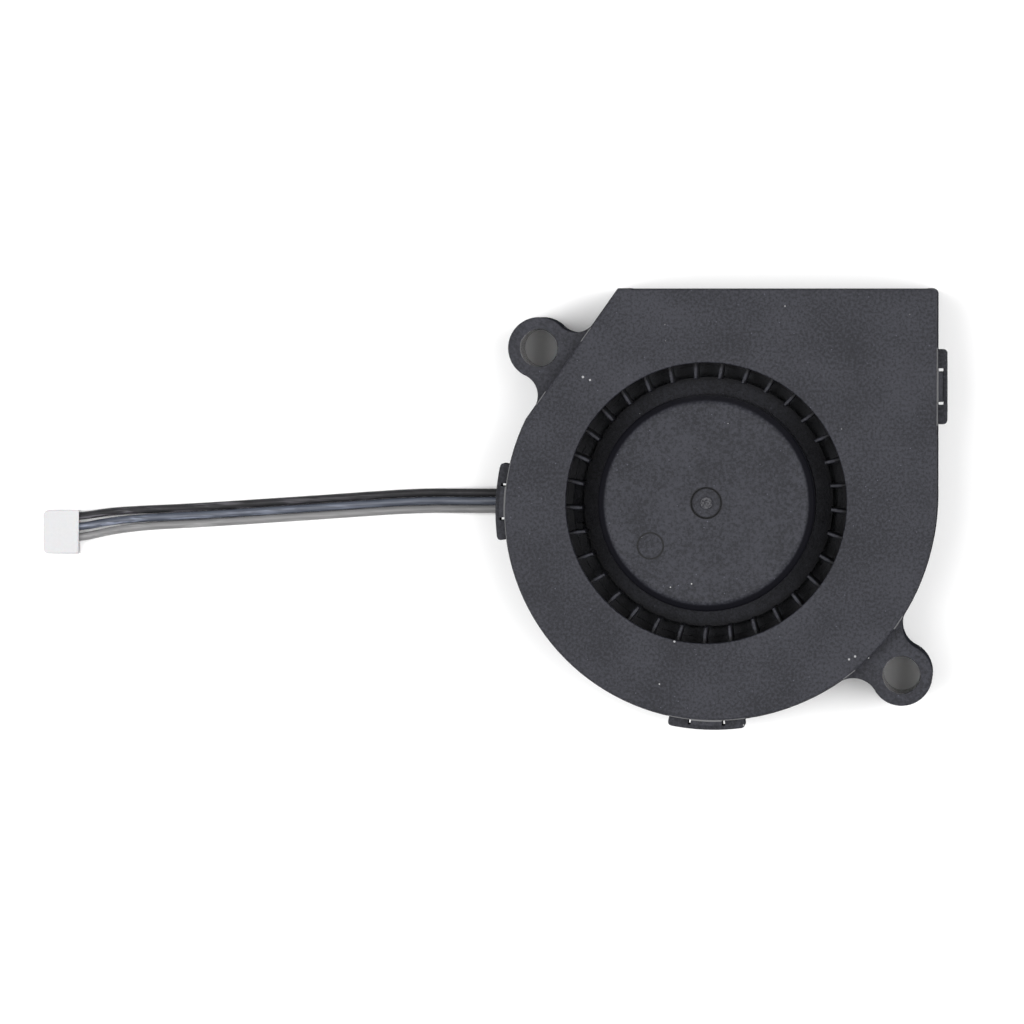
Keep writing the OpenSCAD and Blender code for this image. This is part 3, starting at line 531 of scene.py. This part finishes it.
for node, obj in [*nodes.items(), *cords.items()]:
    finish_object(obj, node)


# Moulded pieces, with their edges rounded

WIDEST = 0.5
HARD_EDGE = math.radians(30)
FLAT = math.radians(0.2)
CLOSE = 0.01


def radius(point):
    return math.hypot(point.x, point.y)


class Edge:
    """A convex hard edge in millimetres, with what the rounding rules ask of it."""

    def __init__(self, edge):
        a, b = (vert.co / MM for vert in edge.verts)
        self.middle = (a + b) / 2
        self.low, self.top = sorted((a.z, b.z))
        self.r = radius(self.middle)
        self.upright = radius(a - b) < CLOSE and self.top - self.low > 0.3
        side = min((face.normal for face in edge.link_faces), key=lambda n: abs(n.z))
        self.outer = side.x * self.middle.x + side.y * self.middle.y > 0

    def at(self, *heights):
        """Whether the edge lies level at one of the heights."""
        return any(self.top - z < CLOSE and z - self.low < CLOSE for z in heights)

    def near(self, centre, reach):
        return radius(self.middle - centre) < reach


def past_wall(point):
    """How far a point lies outside the scroll's wall, near its ears and latches."""
    if point.x > ARC_B.x:
        return radius(point - ARC_B) - ARC_B_R if point.y < ARC_B.y else point.x - RIGHT_X
    from_a = point - ARC_A
    if 0 < math.atan2(from_a.y, from_a.x) < SLANT_ENDS:
        return point.x * math.cos(SLANT) + point.y * math.sin(SLANT) - SLANT_OUT
    return radius(from_a) - ARC_A_R


def softened(name, node, body, round_mm):
    """A copy of a node with whole flat faces, and each edge rounded as round_mm says."""
    bm = bmesh.new()
    bm.from_mesh(nodes[node].data)
    bmesh.ops.remove_doubles(bm, verts=bm.verts, dist=0.002 * MM)
    bmesh.ops.dissolve_limit(bm, angle_limit=FLAT, verts=bm.verts, edges=bm.edges)
    weight = bm.edges.layers.float.new("bevel_weight_edge")
    for edge in bm.edges:
        hard = len(edge.link_faces) == 2 and edge.calc_face_angle(0) > HARD_EDGE
        if hard and edge.is_convex:
            edge[weight] = round_mm(Edge(edge)) / WIDEST
        edge.smooth = not hard or edge[weight] > 0
    for face in bm.faces:
        face.smooth = True
    mesh = bpy.data.meshes.new(name)
    bm.to_mesh(mesh)
    bm.free()
    if "custom_normal" in mesh.attributes:
        mesh.attributes.remove(mesh.attributes["custom_normal"])
    piece = stand_in(name, mesh, node, body)
    bevel = piece.modifiers.new("round", "BEVEL")
    bevel.width = WIDEST * MM
    bevel.segments = 4
    bevel.limit_method = "WEIGHT"
    bevel.use_clamp_overlap = False
    bevel.harden_normals = True
    finish_object(piece, node)
    return piece


def cover_edges(edge):
    if edge.at(BODY_H):
        return 0.2 if edge.outer else 0.15
    return 0


def base_edges(edge):
    """The ears' roundings fade out towards the wall, and the lead channel stays sharp."""
    out = past_wall(edge.middle)
    if any(edge.near(ear, EAR_HOLE_R + 0.1) for ear in EARS):
        return 0.1 if edge.at(EAR_TOP, 0) else 0
    if edge.at(EAR_TOP):
        width = 0.18 * min(1, (out - 0.5) / 1.2)
        return width if width > 0.04 else 0
    if edge.at(LATCH_TOP) and (out > 1 or not any(edge.near(latch, 4) for latch in LATCHES)):
        return 0.15
    in_channel = edge.middle.x < -13 and abs(edge.middle.y) < 3
    if edge.at(0) and (edge.outer or out > -0.3) and not in_channel:
        return 0.2
    if edge.upright and edge.low > LATCH_FOOT - 0.1 and edge.top < LATCH_TOP + 0.1:
        return 0.5
    return 0


def rotor_edges(edge):
    """The hub's outer edges, the recess and its stub, and the blades inside their top ring."""
    if edge.r > 11 and edge.at(HUB_TOP, HUB_SLOPE_FOOT):
        return 0.35
    if edge.r < 2 and edge.at(HUB_TOP, STUB_TOP):
        return 0.1
    if edge.at(BLADE_TOP) and edge.r < 18.6:
        return 0.14
    return 0


def plug_edges(edge):
    return 0.15 if edge.at(PLUG_H, 0) else 0


softened("cover_shell", "cover_plate", "housing", cover_edges)
softened("base_shell", "base_housing", "housing", base_edges)
softened("blower_wheel", "impeller", "rotor", rotor_edges)
plug = softened("plug_shell", "plug_housing", "housing", plug_edges)


# Floor and light

def add_floor():
    s = Shader("floor", 0.6)
    s.colour(s.mix(s.noise(0.02, 2.0), (0.955, 0.955, 0.955), (0.97, 0.97, 0.97)))
    bpy.ops.mesh.primitive_plane_add(size=4, location=(0, 0, -0.02 * MM))
    floor = bpy.context.object
    floor.name = "floor"
    floor.data.materials.append(s.material)


def add_panel(name, at, size, radiance):
    """A soft panel that faces the object."""
    data = bpy.data.lights.new(name, "AREA")
    data.shape = "RECTANGLE"
    data.size, data.size_y = size
    data.energy = radiance * math.pi * size[0] * size[1]
    light = bpy.data.objects.new(name, data)
    bpy.context.collection.objects.link(light)
    light.location = at
    light.rotation_euler = (-Vector(at)).to_track_quat("-Z", "Y").to_euler()


def add_world(strength):
    world = bpy.data.worlds.new("studio")
    bpy.context.scene.world = world
    world.use_nodes = True
    background = world.node_tree.nodes["Background"]
    background.inputs["Color"].default_value = (1, 1, 1, 1)
    background.inputs["Strength"].default_value = strength


add_floor()
add_world(0.4)
add_panel("panel_top", (0, 0, 1.4), (0.7, 0.9), 0.7)
add_panel("panel_left", (-0.6, 0, 1.0), (0.75, 1.0), 4.6)
add_panel("panel_right", (0.6, 0, 1.0), (0.75, 1.0), 4.6)
bpy.context.scene.view_settings.view_transform = "Standard"

bpy.context.view_layer.update()
